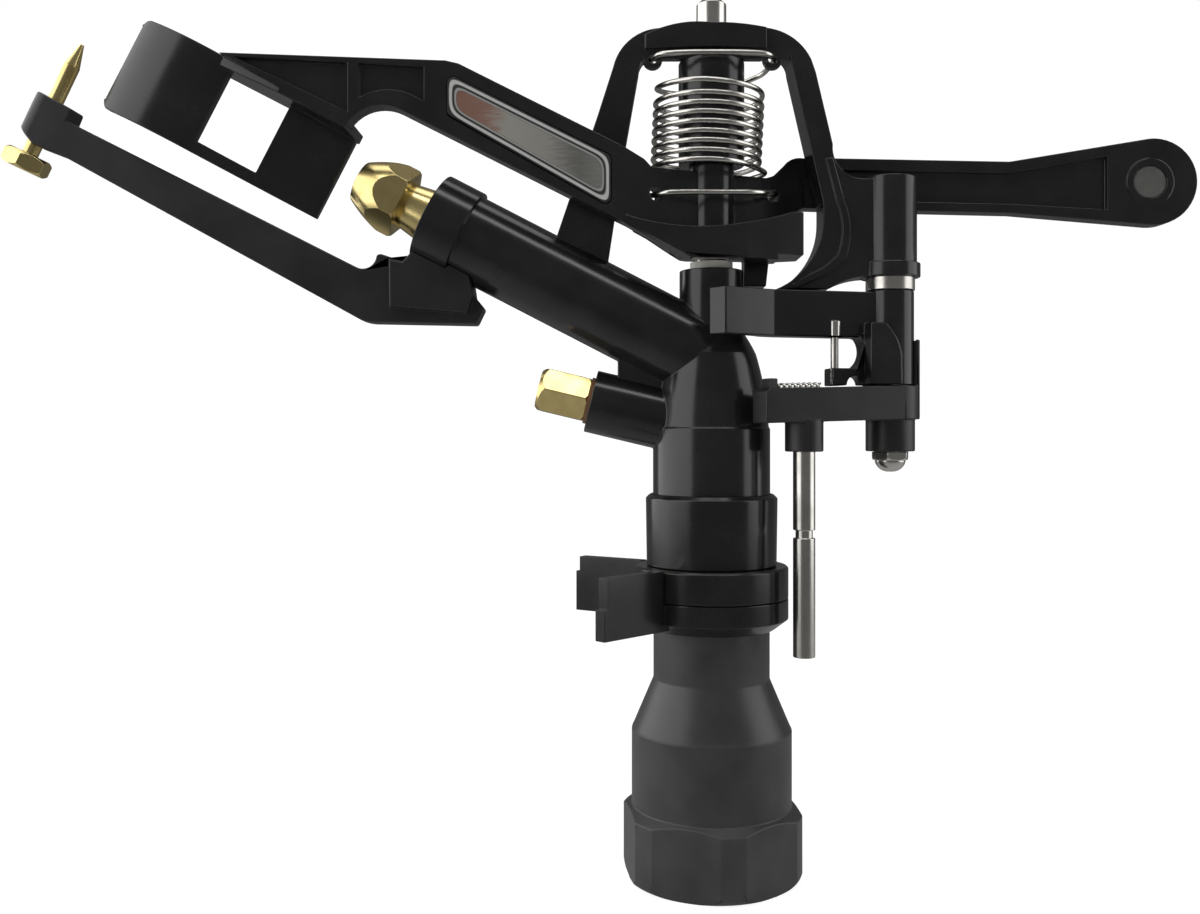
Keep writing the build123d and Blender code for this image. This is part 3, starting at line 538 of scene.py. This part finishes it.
def round_profile(radius, count):
    """Points round a circle."""
    angle = np.linspace(0, 2 * np.pi, count, endpoint=False)
    return radius * np.stack([np.cos(angle), np.sin(angle)], -1)


print("wire tools ready")

# %% [markdown]
# The arm spring is a left-hand coil round the sleeve. Its lowest wire hooks through two holes in the
# arm and its highest through two lugs of the bridge, so when the arm swings, the coil twists between
# them.

# %% Arm spring
spring_wire = 1.1
spring_radius = 11.0
spring_foot = 145.55      # height of the first turn
close_turns = 7
close_pitch = 1.895
open_pitch = 2.4
foot_offset = 1.2         # how far the foot of the coil stands to the nozzle side
low_hook = [
    (11.2, 9.2, 141.4), (12.5, 5.25, 141.2), (12.6, 0.2, 140.7), (9.0, -5.4, 140.0),
    (0.0, -7.9, 139.6), (-8.8, -8.5, 139.4), (-12.5, -5.25, 139.4), (-13.6, -0.6, 140.2),
    (-10.4, 8.0, 142.2), (0.0, 12.0, 144.0), (8.8, 7.4, 145.4), (10.8, 0.0, 145.45)]
high_hook = [
    (-11.3, 0.0, 162.6), (0.0, 11.6, 165.0), (10.2, 6.8, 167.0), (12.5, 0.4, 167.7),
    (12.3, -3.6, 167.8), (10.2, -6.6, 167.75), (0.0, -8.6, 167.4), (-10.2, -6.6, 167.75),
    (-12.3, -3.6, 167.8), (-12.5, 0.4, 167.9)]
step = np.arange(4 * close_turns + 5)
open_turn = np.maximum(0, step / 4 - close_turns)
angle = np.radians(-90 - 90 * step)
coil = np.stack([
    spring_radius * np.cos(angle) - foot_offset * (1 - step / (8 * close_turns)),
    spring_radius * np.sin(angle),
    spring_foot + close_pitch * (step / 4 - open_turn) + open_pitch * open_turn], -1)
spring_path = smooth_path(np.vstack([low_hook, coil, high_hook]), 14) * mm
spring_profile = round_profile(spring_wire / 2 * mm, 14)
arm_spring = carry("arm_spring_wire", spring_path, spring_profile, upright, steel_wire)
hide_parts("arm_spring")
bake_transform(arm_spring)

# %% [markdown]
# The toggle spring is a small compression spring that lies in the trip lever's trough. The brake
# spring sits in the cup round the spindle and is only seen through the gap.

# %% Toggle spring and brake spring
pivot_x = 37.1
toggle_wire = 0.5
toggle_radius = 1.1
toggle_turns = 8
brake_wire = 1.58
brake_radius = 10.0
brake_turns = 3.25
brake_inset = 0.72


def plain_coil(start, end, radius, turns, inset):
    """Helix of four points a turn between two points, about the line between them."""
    start, end = np.asarray(start, float), np.asarray(end, float)
    aim = (end - start) / np.linalg.norm(end - start)
    out = np.array([0, 0, 1.0]) if abs(aim[2]) < 0.9 else np.array([1.0, 0, 0])
    out -= aim * (aim @ out)
    out /= np.linalg.norm(out)
    across = np.cross(aim, out)
    n = np.arange(int(4 * turns) + 1)
    turn = np.radians(90 * n)[:, None]
    span = np.linalg.norm(end - start) - 2 * inset
    along = inset + span * (n / n[-1])[:, None]
    return start + along * aim + radius * (np.cos(turn) * out + np.sin(turn) * across), aim


def from_pivot(degrees, reach, height):
    """Point at a direction and reach from the lever pivot."""
    turn = math.radians(degrees)
    return pivot_x + reach * math.cos(turn), reach * math.sin(turn), height


toggle_ends = from_pivot(206.3, 29.0, 99.7), from_pivot(204.8, 17.0, 100.1)
toggle_path, toggle_aim = plain_coil(*toggle_ends, toggle_radius, toggle_turns, toggle_wire)
toggle_path = smooth_path(toggle_path, 10) * mm
toggle_profile = round_profile(toggle_wire / 2 * mm, 10)
toggle = carry("toggle_spring_wire", toggle_path, toggle_profile, toggle_aim, steel_wire)
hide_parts("toggle_spring")
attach(toggle, "trip")

brake_ends = (0, 0, 66.9), (0, 0, 75.6)
brake_path, brake_aim = plain_coil(*brake_ends, brake_radius, brake_turns, brake_inset)
brake_path = smooth_path(brake_path, 16) * mm
brake_profile = round_profile(brake_wire / 2 * mm, 12)
brake = carry("brake_spring_wire", brake_path, brake_profile, brake_aim, steel_wire)
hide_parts("brake_spring")
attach(brake, "base")

# %% [markdown]
# ## The inlet thread
#
# A pipe thread is a ridge that winds up the bore. Its section is a blunt triangle with its foot just
# inside the wall, carried along a helix of the thread's pitch.

# %% Inlet thread
thread_pitch = 1.814
thread_turns = 8
thread_radius = 12.05
thread_foot = 1.1
lead = np.linspace(0, 2 * np.pi * thread_turns, 96 * thread_turns + 1)
climb = thread_foot + thread_pitch * lead / (2 * np.pi)
helix = np.stack([thread_radius * np.cos(lead), thread_radius * np.sin(lead), climb], -1) * mm
ridge = np.array([(0.06, -0.78), (0.06, 0.78), (-0.52, 0.28), (-0.60, 0.0), (-0.52, -0.28)]) * mm
thread = carry("inlet_thread_ridge", helix, ridge, upright, plastic_grey)
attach(thread, "base")

# %% [markdown]
# ## Camera
#
# The photograph is taken close up with the lens level: verticals stay upright and the horizon lies a
# little above the middle, which a small lens shift gives.

# %% Camera
picture_width = 1200      # pixels of the photograph
middle_row = 457
horizon_row = 430
focal_pixels = 1160
sensor = 36.0
lens = bpy.data.cameras.new("photo_lens")
lens.sensor_width = sensor
lens.lens = sensor * focal_pixels / picture_width
lens.shift_y = -(middle_row - horizon_row) / picture_width
lens.clip_start = 0.005
camera = bpy.data.objects.new("photo_camera", lens)
camera.location = (-0.0231, -0.2407, 0.0918)
camera.rotation_euler = (math.pi / 2, 0, 0)
bpy.context.scene.collection.objects.link(camera)
bpy.context.scene.camera = camera
print("camera at", tuple(round(c, 4) for c in camera.location))

# %% [markdown]
# ## Studio
#
# Floor and backdrop are one white sheet that curves up behind the object. The camera sees it white.
# A mirroring surface sees it dimmer close in front, where the camera stands, and far behind, so that
# black plastic stays black where it faces the camera or turns away. The floor keeps the shadow.

# %% White sheet
def sweep_sheet(half_width, front, back, height, bend):
    """Grid over x and the arc length of a path: flat floor, quarter circle, upright wall."""
    corner = np.linspace(0, np.pi / 2, 25)
    y = np.concatenate([[front, 0.0], back - bend + bend * np.sin(corner), [back]])
    z = np.concatenate([[0.0, 0.0], bend - bend * np.cos(corner), [height]])
    x = np.linspace(-half_width, half_width, 9)
    grid = np.stack([np.broadcast_to(x[:, None], (9, y.size)), np.broadcast_to(y, (9, y.size)),
                     np.broadcast_to(z, (9, y.size))], -1)
    rows, cols = grid.shape[:2]
    i, j = np.meshgrid(np.arange(rows - 1), np.arange(cols - 1), indexing="ij")
    quads = np.stack([i * cols + j, (i + 1) * cols + j, (i + 1) * cols + j + 1, i * cols + j + 1], -1)
    mesh = bpy.data.meshes.new("white_sheet")
    mesh.from_pydata(grid.reshape(-1, 3).tolist(), [], quads.reshape(-1, 4).tolist())
    mesh.polygons.foreach_set("use_smooth", np.ones(len(mesh.polygons), bool))
    sheet = bpy.data.objects.new("white_sheet", mesh)
    bpy.context.scene.collection.objects.link(sheet)
    return sheet


def between(tree, value, low, high, at_low, at_high):
    """Straight line from (low, at_low) to (high, at_high), level beyond both."""
    return Field.node(tree, "ShaderNodeMapRange", None,
                      {0: value, 1: low, 2: high, 3: at_low, 4: at_high})


paper_glow = 1.18         # brightness that the camera sees
paper_share = 0.78        # share of it in what the camera sees, the rest is lit paper
sheet = sweep_sheet(half_width=1.6, front=-1.2, back=0.9, height=1.6, bend=0.35)
paper, paper_tree, paper_shader, paper_place = finish_of("white_paper", (0.86, 0.86, 0.86), 0.9)
seen = Field.node(paper_tree, "ShaderNodeLightPath", out="Is Camera Ray")
mirrored = Field.node(paper_tree, "ShaderNodeLightPath", out="Is Glossy Ray")
depth = axis_of(paper_tree, paper_place, "Y")
near = between(paper_tree, depth, -0.22, -0.03, 0.10, 0.40)
far = between(paper_tree, depth, 0.05, 0.30, 1.0, 0.30)
glow = Field.node(paper_tree, "ShaderNodeEmission", None,
                  {"Color": (1, 1, 1, 1), "Strength": seen * paper_glow + mirrored * (near * far)})
body = Field(paper_tree, paper_shader.outputs[0])
shown = Field.node(paper_tree, "ShaderNodeMixShader", None,
                   {0: seen * paper_share + mirrored, 1: body, 2: glow})
paper_tree.links.new(shown.socket, paper_tree.nodes["Material Output"].inputs["Surface"])
sheet.data.materials.append(paper)
print("sheet made")

# %% [markdown]
# Two soft boxes stand left and right of the object, so round black plastic shows a broad pale band
# on its left and a narrow one on its right, and stays dark in the middle. A third hangs over it, and
# a narrow strip high in front draws the thin bright line along the barrel. The air behind the sheet's
# rim is white to the camera and gives only a little light.

# %% Lamps
air_light = 0.15


def soft_box(name, place, target, width, height, glow):
    """Area lamp whose face has a given brightness, where 1 is white: power = pi x area x glow."""
    lamp = bpy.data.lights.new(name, "AREA")
    lamp.shape = "RECTANGLE"
    lamp.size = width
    lamp.size_y = height
    lamp.energy = math.pi * width * height * glow
    holder = bpy.data.objects.new(name, lamp)
    holder.location = place
    holder.rotation_euler = (Vector(target) - Vector(place)).to_track_quat("-Z", "Y").to_euler()
    bpy.context.scene.collection.objects.link(holder)


soft_box("left_box", (-0.60, -0.06, 0.25), (0.0, -0.06, 0.25), width=1.18, height=1.1, glow=1.7)
soft_box("right_box", (0.60, -0.09, 0.25), (0.0, -0.09, 0.25), width=0.50, height=1.1, glow=1.5)
soft_box("top_box", (-0.05, 0.12, 0.95), (-0.05, 0.12, 0.0), width=0.9, height=0.45, glow=1.6)
soft_box("front_strip", (-0.05, -0.38, 0.95), (-0.03, 0.0, 0.1), width=1.1, height=0.16, glow=4.0)

world = bpy.data.worlds.new("studio_air")
world.use_nodes = True
air = world.node_tree.nodes["Background"]
air.inputs["Color"].default_value = (1, 1, 1, 1)
straight = Field.node(world.node_tree, "ShaderNodeLightPath", out="Is Camera Ray")
feed(world.node_tree, air, "Strength", air_light + (1.0 - air_light) * straight)
bpy.context.scene.world = world
bpy.context.scene.view_settings.view_transform = "Standard"
print("lamps set")
